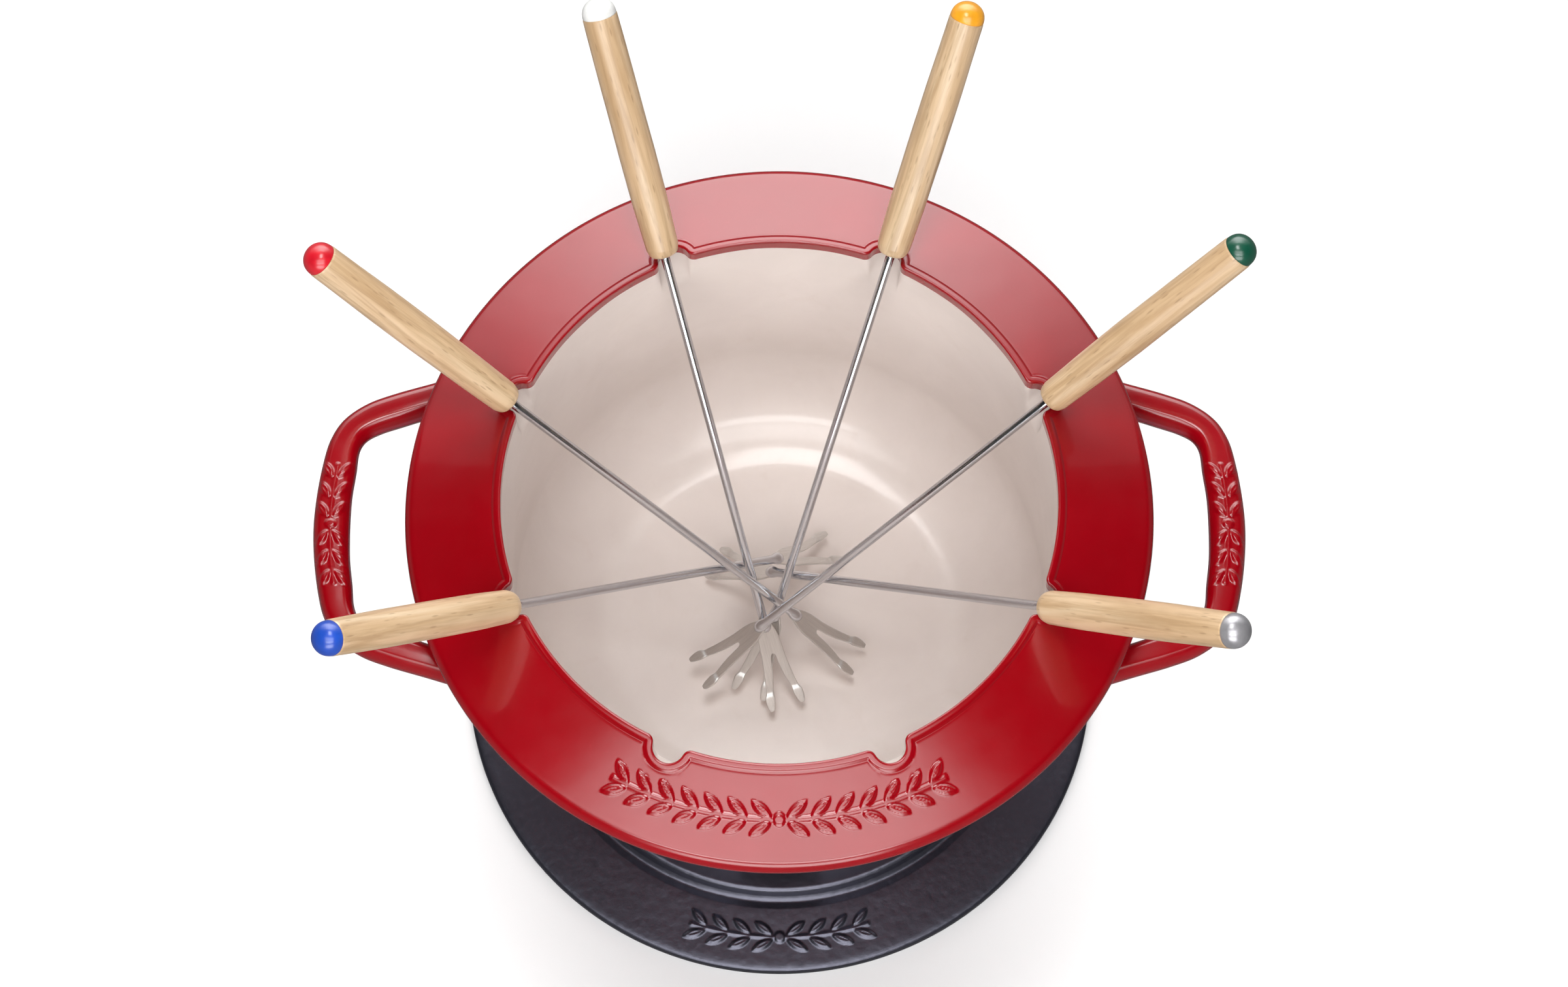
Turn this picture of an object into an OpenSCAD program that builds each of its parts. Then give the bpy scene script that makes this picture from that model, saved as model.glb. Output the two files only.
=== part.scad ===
// Fondue pot set: an enamelled cast-iron pot with a wide sloping brim, a
// cast-iron stand with a paste burner inside it, and six long forks.
// Millimetres. +Z is up, the front of the set faces -Y, and the origin is
// the middle of the stand's flat underside.

/* [Stand] */
// Radius of the round foot plate
plate_r = 119; // [100:1:140]
// Thickness of the foot plate at its edge
plate_edge_h = 5; // [4:0.5:8]
// Height of the foot plate next to the hub
plate_inner_h = 7.5; // [6:0.5:10]
// Radius of the raised hub in the middle of the plate
hub_r = 90; // [85:1:100]
// Height of the hub's flat top
hub_h = 12; // [9:0.5:14]
// Outer radius of the upright drum
drum_r = 82; // [78:1:86]
// Thickness of the drum's wall
drum_wall = 6; // [4:0.5:8]
// Height of the seat that carries the pot
seat_z = 51.7; // [48:0.1:58]
// Radius of the flame opening in the seat
seat_hole_r = 54; // [40:1:60]
// Width of the arched windows in the drum
window_w = 30.2; // [20:0.2:34]
// Width of the doorway at the back that the burner slides through
door_w = 75; // [72:1:80]

/* [Pot] */
// Radius of the cooking space at its wall
bowl_r = 96; // [80:1:110]
// Thickness of the cast-iron wall
bowl_wall = 4; // [3:0.5:6]
// Radius of the flat floor inside
floor_r = 61; // [40:1:70]
// Radius of the bend between floor and wall
floor_bend = 35; // [20:1:40]
// Height of the floor inside, above the table
floor_z = 57.1; // [56:0.1:65]
// Height of the rolled inner lip above the table
lip_z = 190; // [160:1:220]
// Radius of the rolled inner lip's section
lip_roll = 1.8; // [1:0.1:3]
// Outer radius of the brim
brim_r = 130; // [115:1:145]
// Height of the middle of the brim's rounded edge
brim_edge_z = 175; // [165:1:185]
// Radius of the brim's rounded edge
brim_edge = 4.5; // [3:0.5:6]
// Number of fork notches in the lip
notch_count = 8; // [6:1:10]
// Radius of a fork notch
notch_r = 5.5; // [4:0.1:7]
// How far a notch leans towards the middle as it goes down, in degrees
notch_lean = 20; // [10:1:30]

/* [Side handles] */
// Distance from the middle of the pot to the outside of a handle
handle_reach = 163.5; // [155:0.5:175]
// Width of a handle's grip seen from above
handle_w = 13; // [10:0.5:16]
// Height of the middle of the handles above the table
handle_z = 158; // [145:1:165]
// Thickness of the handles
handle_h = 12; // [8:0.5:14]

/* [Forks] */
// Length of a fork from its points to the end of its cap
fork_len = 282; // [260:1:300]
// Distance from the points to the front of the wooden handle
handle_from = 184.5; // [170:0.5:200]
// Distance from the points to the start of the coloured cap
cap_from = 276; // [260:0.5:290]
// Radius of the steel shank
shank_r = 1.6; // [1.2:0.1:2]
// Radius of the wooden handle at its front
handle_front_r = 5.8; // [4:0.1:7]
// Radius of the wooden handle at its end
handle_end_r = 6.2; // [4:0.1:7]
// Thickness of the stamped head
head_t = 1.5; // [1:0.1:2]

/* [Burner] */
// Radius of the burner cup
cup_r = 32; // [28:1:34]
// Height of the burner cup
cup_h = 23; // [18:1:24]
// Radius of the burner's flame hole
flame_r = 13; // [8:1:18]
// Number of air holes in the burner cover and its regulator
air_holes = 8; // [6:1:10]

/* [Hidden] */
$fn = 96;
gap = 0.3;
cut = 1;
outer_bend = floor_bend + bowl_wall;
bend_z = floor_z + floor_bend;
outer_r = bowl_r + bowl_wall;
lip_mid_r = bowl_r + lip_roll - 0.05;
lip_mid_z = lip_z - lip_roll;
edge_mid_r = brim_r - brim_edge;
pot_foot_z = seat_z + gap;
pot_foot_in_r = 57;
pot_foot_out_r = 70;
brim_slope = 18.8;
// Where the sloping top of the brim meets its rounded edge
brim_top_r = edge_mid_r + brim_edge * sin(brim_slope);
brim_top_z = brim_edge_z + brim_edge * cos(brim_slope);
drum_top = 46;
window_z = 16;
burner_z = hub_h + gap;
cup_wall = 1.2;
cover_z = burner_z + cup_h + gap;
cover_t = 1.5;
regulator_z = cover_z + cover_t + gap;
regulator_t = 1.2;
grip_bow_x = 15.5;

// Each fork: name, tip position, direction seen from above and slope, in degrees
grey_fork = [[-23.9, 22.3, 60.7], 331.3, 44.9];
blue_fork = [[19.6, 28.3, 61.6], 211.9, 45.1];
orange_fork = [[-11.1, -28, 60], 67, 45.7];
white_fork = [[2.6, -33.2, 61.9], 109.2, 45];
red_fork = [[28.2, -16, 62.8], 157.4, 44.5];
green_fork = [[-29.5, -22.9, 67], 25.3, 42.5];

iron = [0.13, 0.13, 0.15];
red_enamel = [0.62, 0.02, 0.04];
steel = [0.75, 0.75, 0.76];
wood = [0.86, 0.70, 0.46];
paste = [0.80, 0.88, 0.95];

// ---- Stand -------------------------------------------------------------

// The foot plate, thicker towards the hub, with a hollow curve up to the hub
module stand_plate() {
    hollow = 4;
    color(iron) difference() {
        rotate_extrude() union() {
            polygon([
                [0, 0], [plate_r - 1, 0], [plate_r, 1.5], [plate_r, plate_edge_h - 1.5],
                [plate_r - 1.5, plate_edge_h], [hub_r + hollow, plate_inner_h],
                [hub_r, plate_inner_h], [0, plate_inner_h]
            ]);
            square([hub_r - 1.5, hub_h]);
            square([hub_r, hub_h - 1.5]);
            translate([hub_r - 1.5, hub_h - 1.5]) circle(r = 1.5);
        }
        // shallow ring groove round the foot of the hub
        rotate_extrude() translate([hub_r + hollow, plate_inner_h + 2.6]) circle(r = 3.4);
    }
}

// An arched opening through the drum, facing the given direction
module arch(facing, width, base, crown) {
    spring = crown - width / 2;
    rotate([0, 0, facing]) translate([drum_r - 20, 0, 0]) rotate([90, 0, 90])
        linear_extrude(height = 40) union() {
            translate([-width / 2, base]) square([width, spring - base]);
            translate([0, spring]) circle(r = width / 2);
        }
}

module stand_drum() {
    color(iron) difference() {
        translate([0, 0, hub_h]) cylinder(h = drum_top - hub_h, r = drum_r);
        translate([0, 0, hub_h - cut])
            cylinder(h = drum_top - hub_h + 2 * cut, r = drum_r - drum_wall);
        for (k = [1:5]) {
            arch(90 + 60 * k, window_w, window_z, drum_top - 3.9);
        }
        // the doorway at the back, open down to the hub
        translate([-door_w / 2, 30, hub_h - cut]) cube([door_w, 70, 31 + cut]);
    }
}

// The ring the pot stands on, with a low rim that keeps the pot in the middle
module stand_seat() {
    rim_h = 1.6;
    rim_r = 76;
    color(iron) difference() {
        translate([0, 0, drum_top]) cylinder(h = seat_z + rim_h - drum_top, r = drum_r);
        translate([0, 0, seat_z]) cylinder(h = rim_h + cut, r = rim_r);
        translate([0, 0, drum_top - cut]) cylinder(h = 10, r = seat_hole_r);
    }
}

// ---- Burner ------------------------------------------------------------

module burner_cup() {
    color(steel) translate([0, 0, burner_z]) difference() {
        union() {
            cylinder(h = cup_h, r = cup_r - 1);
            rotate_extrude() translate([cup_r - 1.2, cup_h - 1.2]) circle(r = 1.2);
            cylinder(h = 2, r = cup_r);
        }
        translate([0, 0, cup_wall]) cylinder(h = cup_h, r = cup_r - 1 - cup_wall);
    }
}

module burner_paste() {
    color(paste) translate([0, 0, burner_z + cup_wall])
        cylinder(h = cup_h - 8, r = cup_r - 1 - cup_wall - gap);
}

module air_ring(z, h) {
    for (k = [0:air_holes - 1]) {
        rotate([0, 0, (k + 0.5) * 360 / air_holes]) translate([21, 0, z]) cylinder(h = h, r = 3);
    }
}

module burner_cover() {
    color(steel) difference() {
        union() {
            translate([0, 0, cover_z]) cylinder(h = cover_t, r = cup_r);
            // the collar that drops into the cup
            translate([0, 0, cover_z - 4]) cylinder(h = 4.5, r = cup_r - 1 - cup_wall - gap);
            // the short neck round the flame hole that the regulator turns on
            translate([0, 0, cover_z]) cylinder(h = cover_t + 3, r = flame_r + 1.5);
        }
        translate([0, 0, cover_z - 5]) cylinder(h = 5, r = cup_r - 2 - cup_wall - gap);
        translate([0, 0, cover_z - cut]) cylinder(h = 10, r = flame_r);
        air_ring(cover_z - cut, 5);
    }
}

module burner_regulator() {
    color(steel) difference() {
        translate([0, 0, regulator_z]) cylinder(h = regulator_t, r = 28);
        translate([0, 0, regulator_z - cut]) cylinder(h = 5, r = flame_r + 1.5 + gap);
        air_ring(regulator_z - cut, 5);
    }
}

module burner_lever() {
    color(steel) translate([-2.5, 27, regulator_z + regulator_t]) cube([5, 14, 1]);
}

module burner_knob() {
    color(iron) translate([0, 41, regulator_z + regulator_t + 0.5]) rotate([-90, 0, 0])
        rotate_extrude() difference() {
            union() {
                translate([0, 0]) square([2.2, 4]);
                translate([0, 4]) circle(r = 3);
            }
            translate([-5, -5]) square([5, 15]);
        }
}

// ---- Pot ---------------------------------------------------------------

// Half of the pot's section: bowl, foot ring, sloping brim and rolled lip
module pot_section() {
    difference() {
        union() {
            intersection() {
                translate([floor_r, bend_z]) circle(r = outer_bend);
                translate([floor_r, 0]) square([outer_bend + 1, bend_z]);
            }
            translate([0, bend_z - outer_bend + 1]) square([floor_r, outer_bend - 1]);
            translate([0, bend_z]) square([outer_r, lip_mid_z - bend_z]);
            translate([pot_foot_in_r, pot_foot_z])
                square([pot_foot_out_r - pot_foot_in_r, 3]);
            // brim, thicker where it joins the wall
            polygon([
                [bowl_r, brim_edge_z - 10], [outer_r, brim_edge_z - 6], [outer_r + 4, brim_edge_z + 1],
                [edge_mid_r - 1.8, brim_edge_z - 4.1], [edge_mid_r, brim_edge_z],
                [brim_top_r, brim_top_z], [lip_mid_r + lip_roll, lip_mid_z + 0.4],
                [bowl_r, lip_mid_z]
            ]);
            translate([edge_mid_r, brim_edge_z]) circle(r = brim_edge);
            translate([lip_mid_r, lip_mid_z]) circle(r = lip_roll);
        }
        translate([0, floor_z]) square([floor_r, lip_z]);
        translate([floor_r, bend_z]) circle(r = floor_bend);
        translate([0, bend_z]) square([bowl_r, lip_mid_z - bend_z - 1.5]);
        translate([0, bend_z]) square([lip_mid_r - lip_roll, lip_z]);
        translate([-2 * plate_r, 0]) square([2 * plate_r, 2 * lip_z]);
    }
}

// A scoop in the lip for a fork's shank, running out down the wall
module notch(facing) {
    rotate([0, 0, facing]) translate([bowl_r + 1, 0, lip_z]) rotate([0, notch_lean, 0])
        translate([0, 0, -30]) cylinder(h = 45, r = notch_r);
}

// Low rounded studs along the front of the brim
module brim_studs() {
    stud_r = 5;
    for (k = [-4:4]) {
        rotate([0, 0, k * 8]) translate([0, -115, brim_top_z + (brim_top_r - 115) * tan(brim_slope)])
            rotate([brim_slope, 0, 0]) translate([0, 0, 1.1 - stud_r]) sphere(r = stud_r);
    }
}

module pot_body() {
    color(red_enamel) difference() {
        union() {
            rotate_extrude() pot_section();
            brim_studs();
        }
        for (k = [0:notch_count - 1]) {
            notch((k + 0.5) * 360 / notch_count);
        }
    }
}

// Section of a handle: flat-sided with rounded top and bottom edges
module grip_section(w, h, r) {
    union() {
        translate([-w / 2 + r, -h / 2]) square([w - 2 * r, h]);
        translate([-w / 2, -h / 2 + r]) square([w, h - 2 * r]);
        for (x = [-1, 1], y = [-1, 1]) {
            translate([x * (w / 2 - r), y * (h / 2 - r)]) circle(r = r);
        }
    }
}

// The right handle: a gently bowed grip between two arms that flare to the pot
module side_handle() {
    bow_r = handle_reach - handle_w / 2 - grip_bow_x;
    half = 15.6;
    corner_x = grip_bow_x + bow_r * cos(half);
    corner_y = bow_r * sin(half);
    arm_tilt = 17.5;
    arm_len = 60;
    color(red_enamel) translate([0, 0, handle_z]) difference() {
        union() {
            translate([grip_bow_x, 0, 0]) rotate([0, 0, -half])
                rotate_extrude(angle = 2 * half) translate([bow_r, 0]) grip_section(handle_w, handle_h, 3.5);
            for (side = [-1, 1]) {
                translate([corner_x, side * corner_y, 0]) {
                    rotate_extrude() intersection() {
                        grip_section(handle_w, handle_h, 3.5);
                        translate([0, -handle_h]) square([handle_w, 2 * handle_h]);
                    }
                    rotate([0, 0, 180 - side * arm_tilt]) rotate([90, 0, 90])
                        linear_extrude(height = arm_len) grip_section(handle_w + 1.5, handle_h, 3.5);
                }
            }
        }
        // the arms end just inside the pot's wall
        translate([0, 0, -20]) cylinder(h = 40, r = outer_r - 1.5);
    }
}

module pot_handle_right() {
    side_handle();
}

module pot_handle_left() {
    mirror([1, 0, 0]) side_handle();
}

// ---- Forks -------------------------------------------------------------

// Puts a fork drawn up the Z axis from its points into its place in the pot
module lay_fork(fork) {
    translate(fork[0]) rotate([0, 90 - fork[2], fork[1]]) children();
}

// Half of the stamped head's outline: outer edge up the tine, barb, point, slot
HEAD_EDGE = [
    [1.5, 38], [2.3, 33], [3.5, 27], [3.7, 22], [5.0, 12], [6.1, 6.2], [7.0, 5.6],
    [5.9, 0], [3.4, 5.0], [4.1, 5.8], [2.7, 12], [1.2, 21]
];

module fork_head(fork) {
    last = len(HEAD_EDGE) - 1;
    mirrored = [for (k = [last:-1:0]) [-HEAD_EDGE[k][0], HEAD_EDGE[k][1]]];
    color(steel) lay_fork(fork) translate([-head_t / 2, 0, 0]) rotate([90, 0, 90])
        linear_extrude(height = head_t) polygon(concat(HEAD_EDGE, [[0, 22.2]], mirrored));
}

module fork_shank(fork) {
    color(steel) lay_fork(fork) difference() {
        translate([0, 0, 32]) cylinder(h = handle_from + 38 - 32, r = shank_r);
        // flattened where it is welded onto the stamped head
        translate([head_t / 2, -5, 31]) cube([5, 10, 4]);
        translate([-head_t / 2 - 5, -5, 31]) cube([5, 10, 4]);
    }
}

module fork_handle(fork) {
    shoulder = 2.5;
    color(wood) lay_fork(fork) rotate_extrude() difference() {
        union() {
            polygon([
                [0, handle_from], [handle_front_r - shoulder, handle_from],
                [handle_front_r, handle_from + shoulder], [handle_front_r + 0.7, handle_from + 35],
                [handle_end_r + 0.3, handle_from + 65], [handle_end_r, cap_from], [0, cap_from]
            ]);
            intersection() {
                translate([handle_front_r - shoulder, handle_from + shoulder]) circle(r = shoulder);
                translate([0, handle_from]) square([10, shoulder]);
            }
        }
        // the bore that the tang is pressed into
        translate([-1, handle_from - 1]) square([1 + shank_r - 0.05, 40]);
    }
}

// The coloured end cap: a shallow dome flush with the wood
module fork_cap(fork) {
    dome_h = fork_len - cap_from;
    dome_r = (pow(handle_end_r, 2) + pow(dome_h, 2)) / (2 * dome_h);
    lay_fork(fork) intersection() {
        translate([0, 0, fork_len - dome_r]) sphere(r = dome_r);
        translate([0, 0, cap_from]) cylinder(h = dome_h + 1, r = handle_end_r);
    }
}

module grey_fork_head() { fork_head(grey_fork); }
module grey_fork_shank() { fork_shank(grey_fork); }
module grey_fork_handle() { fork_handle(grey_fork); }
module grey_fork_cap() { color([0.60, 0.60, 0.62]) fork_cap(grey_fork); }

module blue_fork_head() { fork_head(blue_fork); }
module blue_fork_shank() { fork_shank(blue_fork); }
module blue_fork_handle() { fork_handle(blue_fork); }
module blue_fork_cap() { color([0.10, 0.28, 0.75]) fork_cap(blue_fork); }

module orange_fork_head() { fork_head(orange_fork); }
module orange_fork_shank() { fork_shank(orange_fork); }
module orange_fork_handle() { fork_handle(orange_fork); }
module orange_fork_cap() { color([0.93, 0.58, 0.10]) fork_cap(orange_fork); }

module white_fork_head() { fork_head(white_fork); }
module white_fork_shank() { fork_shank(white_fork); }
module white_fork_handle() { fork_handle(white_fork); }
module white_fork_cap() { color([0.95, 0.95, 0.93]) fork_cap(white_fork); }

module red_fork_head() { fork_head(red_fork); }
module red_fork_shank() { fork_shank(red_fork); }
module red_fork_handle() { fork_handle(red_fork); }
module red_fork_cap() { color([0.82, 0.08, 0.12]) fork_cap(red_fork); }

module green_fork_head() { fork_head(green_fork); }
module green_fork_shank() { fork_shank(green_fork); }
module green_fork_handle() { fork_handle(green_fork); }
module green_fork_cap() { color([0.05, 0.30, 0.20]) fork_cap(green_fork); }

stand_plate();
stand_drum();
stand_seat();
burner_cup();
burner_paste();
burner_cover();
burner_regulator();
burner_lever();
burner_knob();
pot_body();
pot_handle_left();
pot_handle_right();
grey_fork_head();
grey_fork_shank();
grey_fork_handle();
grey_fork_cap();
blue_fork_head();
blue_fork_shank();
blue_fork_handle();
blue_fork_cap();
orange_fork_head();
orange_fork_shank();
orange_fork_handle();
orange_fork_cap();
white_fork_head();
white_fork_shank();
white_fork_handle();
white_fork_cap();
red_fork_head();
red_fork_shank();
red_fork_handle();
red_fork_cap();
green_fork_head();
green_fork_shank();
green_fork_handle();
green_fork_cap();
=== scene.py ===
"""Looks of the fondue pot set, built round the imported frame: pot, cast stand, burner and six forks."""

import math

import bpy
import numpy as np
from mathutils import Matrix, Vector


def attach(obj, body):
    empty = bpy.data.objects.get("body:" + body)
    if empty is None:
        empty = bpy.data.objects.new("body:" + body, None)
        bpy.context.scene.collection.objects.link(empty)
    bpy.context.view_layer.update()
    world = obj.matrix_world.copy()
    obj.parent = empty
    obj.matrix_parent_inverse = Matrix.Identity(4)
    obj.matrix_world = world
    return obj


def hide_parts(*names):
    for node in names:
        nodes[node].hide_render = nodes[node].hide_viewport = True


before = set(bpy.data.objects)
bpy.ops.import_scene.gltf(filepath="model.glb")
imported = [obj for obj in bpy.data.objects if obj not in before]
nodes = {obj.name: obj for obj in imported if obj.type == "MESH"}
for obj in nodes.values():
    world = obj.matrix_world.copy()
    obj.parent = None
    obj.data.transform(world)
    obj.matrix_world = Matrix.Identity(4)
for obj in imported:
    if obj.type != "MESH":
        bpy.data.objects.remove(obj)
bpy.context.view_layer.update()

MM = 0.001
FRONT = -math.pi / 2

# Sizes of the set in millimetres, as in the CAD
LIP_Z = 190.0
BOWL_R = 96.0
WALL_R = 100.0
FLOOR_R = 61.0
FLOOR_Z = 57.1
BEND_R = 35.0
BEND_Z = FLOOR_Z + BEND_R
UNDER_Z = 53.1
FOOT_Z = 52.0
FOOT_INNER_R = 57.0
FOOT_OUTER_R = 70.0
BRIM_SLOPE_DEG = 18.8
BRIM_SLOPE = math.radians(BRIM_SLOPE_DEG)
BRIM_FROM_R = 99.5
BRIM_FROM_Z = LIP_Z - 1.4
EDGE_MID_R = 125.46
EDGE_MID_Z = 175.0
EDGE_R = 4.5
NOTCHES = 8
NOTCH_DEPTH = 6.5
NOTCH_R = 5.5
NOTCH_CORNER = 2.8
HANDLE_Z = 158.0
HUB_Z = 12.0
PLATE_TOP_Z = 7.0
PLATE_EDGE_R = 119.0
ROD_R = 1.6
WOOD_FROM = 184.5
WOOD_TO = 276.0

# Raised bead along the lip: its rolled inner edge, its height, and the shallow groove outside it
LIP_ROLL = 0.95
BEAD_RISE = 0.62
BEAD_FLAT = 1.7
BEAD_FALL = 1.45
GROOVE_AT = 3.3

# Radii of the middle lines of the sprigs of leaves
BRIM_SPRIG_R = 114.0
PLATE_SPRIG_R = 106.2

# Each fork: tip, direction seen from above and slope, in millimetres and degrees
FORKS = {
    "grey": ((-23.9, 22.3, 60.7), 331.3, 44.9),
    "blue": ((19.6, 28.3, 61.6), 211.9, 45.1),
    "orange": ((-11.1, -28.0, 60.0), 67.0, 45.7),
    "white": ((2.6, -33.2, 61.9), 109.2, 45.0),
    "red": ((28.2, -16.0, 62.8), 157.4, 44.5),
    "green": ((-29.5, -22.9, 67.0), 25.3, 42.5),
}
CAP_COLOURS = {
    "grey": (0.42, 0.41, 0.43),
    "blue": (0.012, 0.07, 0.46),
    "orange": (0.85, 0.36, 0.015),
    "white": (0.86, 0.86, 0.84),
    "red": (0.60, 0.006, 0.018),
    "green": (0.004, 0.075, 0.042),
}


# ---- Mesh helpers ------------------------------------------------------------

def smoothstep(low, high, x):
    t = np.clip((x - low) / (high - low), 0.0, 1.0)
    return t * t * (3.0 - 2.0 * t)


def new_object(name, verts, faces, material, smooth=True):
    """A mesh object from vertices in millimetres."""
    mesh = bpy.data.meshes.new(name)
    mesh.from_pydata((np.asarray(verts) * MM).tolist(), [], faces)
    mesh.materials.append(material)
    mesh.polygons.foreach_set("use_smooth", [smooth] * len(mesh.polygons))
    mesh.update()
    obj = bpy.data.objects.new(name, mesh)
    bpy.context.scene.collection.objects.link(obj)
    return obj


def settle(obj, body, slot, *replaced):
    """Puts a finished piece on its body and hides the CAD nodes it stands for. The slot argument is not
    used.
    """
    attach(obj, body)
    if replaced:
        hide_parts(*replaced)


def store(obj, name, values, kind="FLOAT"):
    """Keeps a number or vector for each vertex, for the material to read."""
    attribute = obj.data.attributes.new(name, kind, "POINT")
    key = "value" if kind == "FLOAT" else "vector"
    attribute.data.foreach_set(key, np.asarray(values, np.float32).ravel())


def flipped(faces):
    return [face[::-1] for face in faces]


def grid_faces(rows, cols, wrap=False):
    """Quads between neighbouring points of a grid; wrap joins its last column to its first."""
    faces = []
    for i in range(rows - 1):
        for j in range(cols if wrap else cols - 1):
            j2 = (j + 1) % cols
            faces.append((i * cols + j, i * cols + j2, (i + 1) * cols + j2, (i + 1) * cols + j))
    return faces


def polar(radius, angle, height):
    return np.stack([radius * np.cos(angle), radius * np.sin(angle), height], axis=-1)


def spun(profile, angles):
    """Rings of points: (radius, height) rows turned about +Z."""
    radius = np.repeat(profile[:, :1], len(angles), axis=1)
    height = np.repeat(profile[:, 1:], len(angles), axis=1)
    return polar(radius, angles[None, :], height)


def ring_surface(rings, end_z):
    """Vertices and faces of a stack of rings, closed after the last one by a point on the axis."""
    rows, cols = rings.shape[:2]
    middle = rows * cols
    base = middle - cols
    verts = np.vstack([rings.reshape(-1, 3), [[0.0, 0.0, end_z]]])
    faces = grid_faces(rows, cols, wrap=True)
    faces.extend((base + j, base + (j + 1) % cols, middle) for j in range(cols))
    return verts, faces


def turned_points(profile, sides):
    """Vertices and faces of a closed turned piece about +Z; each end closes on the axis."""
    rings = spun(profile, np.linspace(0.0, 2.0 * math.pi, sides, endpoint=False))
    verts, faces = ring_surface(rings, profile[-1, 1])
    middle = len(verts)
    verts = np.vstack([verts, [[0.0, 0.0, profile[0, 1]]]])
    faces.extend((middle, (j + 1) % sides, j) for j in range(sides))
    return verts, faces


def directions(step):
    """Directions round the axis, in radians; step gives the spacing in degrees at each of them."""
    out = []
    angle = 0.0
    while angle < 360.0 - 1e-6:
        out.append(angle)
        angle += step(angle)
    return np.radians(np.array(out))


def degrees_from_front(angle):
    """How far a direction between 0 and 360 degrees is from the front, which is at 270."""
    return abs(angle - 270.0)


def turn_from_front(angle):
    """Signed turn from the front, in radians, of directions between 0 and 2 pi."""
    return (angle - FRONT - 2.0 * math.pi + math.pi) % (2.0 * math.pi) - math.pi


def corner_arc(before, corner, after, radius, step):
    """Points of the arc that rounds one corner; the arc shrinks where a side is too short for it."""
    before_len = np.linalg.norm(before - corner)
    after_len = np.linalg.norm(after - corner)
    u = (before - corner) / before_len
    v = (after - corner) / after_len
    half = math.acos(np.clip(u @ v, -1.0, 1.0)) / 2.0
    reach = min(radius / math.tan(half), 0.49 * before_len, 0.49 * after_len)
    radius = reach * math.tan(half)
    centre = corner + (u + v) / np.linalg.norm(u + v) * radius / math.sin(half)
    start = corner + u * reach - centre
    outward = corner - centre
    sign = 1.0 if start[0] * outward[1] - start[1] * outward[0] > 0 else -1.0
    turn = math.pi - 2.0 * half
    count = max(2, int(math.degrees(turn) / step))
    points = []
    for i in range(count + 1):
        c = math.cos(sign * turn * i / count)
        s = math.sin(sign * turn * i / count)
        points.append(centre + np.array([c * start[0] - s * start[1], s * start[0] + c * start[1]]))
    return points


def rounded(corners, step=6.0):
    """A polyline through (a, b, radius) corners, with each corner turned into an arc."""
    points = [np.array(corner[:2], float) for corner in corners]
    out = [points[0]]
    for k in range(1, len(corners) - 1):
        radius = corners[k][2]
        if radius > 0:
            out.extend(corner_arc(points[k - 1], points[k], points[k + 1], radius, step))
        else:
            out.append(points[k])
    out.append(points[-1])
    return np.array(out)


def refine(line, longest):
    """The same polyline with no piece longer than the given length."""
    out = [line[0]]
    for p, q in zip(line[:-1], line[1:]):
        count = max(1, int(np.linalg.norm(q - p) / longest + 0.999))
        out.extend(p + (q - p) * i / count for i in range(1, count + 1))
    return np.array(out)


def spline(points, samples):
    """Catmull-Rom curve through the points, at the given parameters from 0 to len - 1."""
    padded = np.vstack([2 * points[0] - points[1], points, 2 * points[-1] - points[-2]])
    k = np.minimum(samples.astype(int), len(points) - 2)
    t = (samples - k)[:, None]
    p0, p1, p2, p3 = (padded[k + i] for i in range(4))
    return 0.5 * (2 * p1 + (p2 - p0) * t + (2 * p0 - 5 * p1 + 4 * p2 - p3) * t ** 2
                  + (3 * p1 - p0 - 3 * p2 + p3) * t ** 3)


def sprig(s, t, pairs, size=1.0):
    """Height, 0 to 1, of a generic sprig of leaves along s, with t across it, in millimetres."""
    s = s / size
    t = t / size
    pitch = 8.4
    length = pitch * pairs
    knot = 0.75 * smoothstep(0.0, 0.8, 2.3 - np.hypot(s, t))
    stem = (1.0 - smoothstep(0.35, 0.95, np.abs(t))) * (1.0 - smoothstep(length, length + 1, np.abs(s)))
    height = np.maximum(knot, 0.45 * stem)
    for side in (-1, 1):
        for k in range(1, pairs + 1):
            for across in (-1, 1):
                from_s = s - side * (pitch * k - 2.2)
                from_t = t - across * 3.1
                angle = across * side * math.radians(33)
                u = from_s * math.cos(angle) + from_t * math.sin(angle)
                v = -from_s * math.sin(angle) + from_t * math.cos(angle)
                leaf = smoothstep(-0.1, 0.95, 1.75 * (1.0 - (u / 4.7) ** 2) - np.abs(v))
                vein = np.exp(-((v / 0.34) ** 2)) * smoothstep(4.4, 2.5, np.abs(u))
                height = np.maximum(height, leaf * (1.0 - 0.35 * vein))
    return height


# ---- Materials ---------------------------------------------------------------

class Nodes:
    """Short calls that add nodes to a node tree."""

    def __init__(self, tree):
        self.tree = tree

    def node(self, kind, **settings):
        node = self.tree.nodes.new(kind)
        for key, value in settings.items():
            setattr(node, key, value)
        return node

    def feed(self, socket, value):
        """Gives an input another node's output, a colour or a number."""
        if isinstance(value, bpy.types.NodeSocket):
            self.tree.links.new(value, socket)
        elif isinstance(value, tuple):
            socket.default_value = (*value, 1.0)
        else:
            socket.default_value = value

    def math(self, operation, *values):
        node = self.node("ShaderNodeMath", operation=operation)
        for socket, value in zip(node.inputs, values):
            self.feed(socket, value)
        return node.outputs["Value"]

    def span(self, value, low, high, start=0.0, end=1.0, curve="LINEAR"):
        """Maps the range start to end onto low to high."""
        node = self.node("ShaderNodeMapRange", interpolation_type=curve)
        node.inputs["From Min"].default_value = start
        node.inputs["From Max"].default_value = end
        node.inputs["To Min"].default_value = low
        node.inputs["To Max"].default_value = high
        self.feed(node.inputs["Value"], value)
        return node.outputs["Result"]


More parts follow.
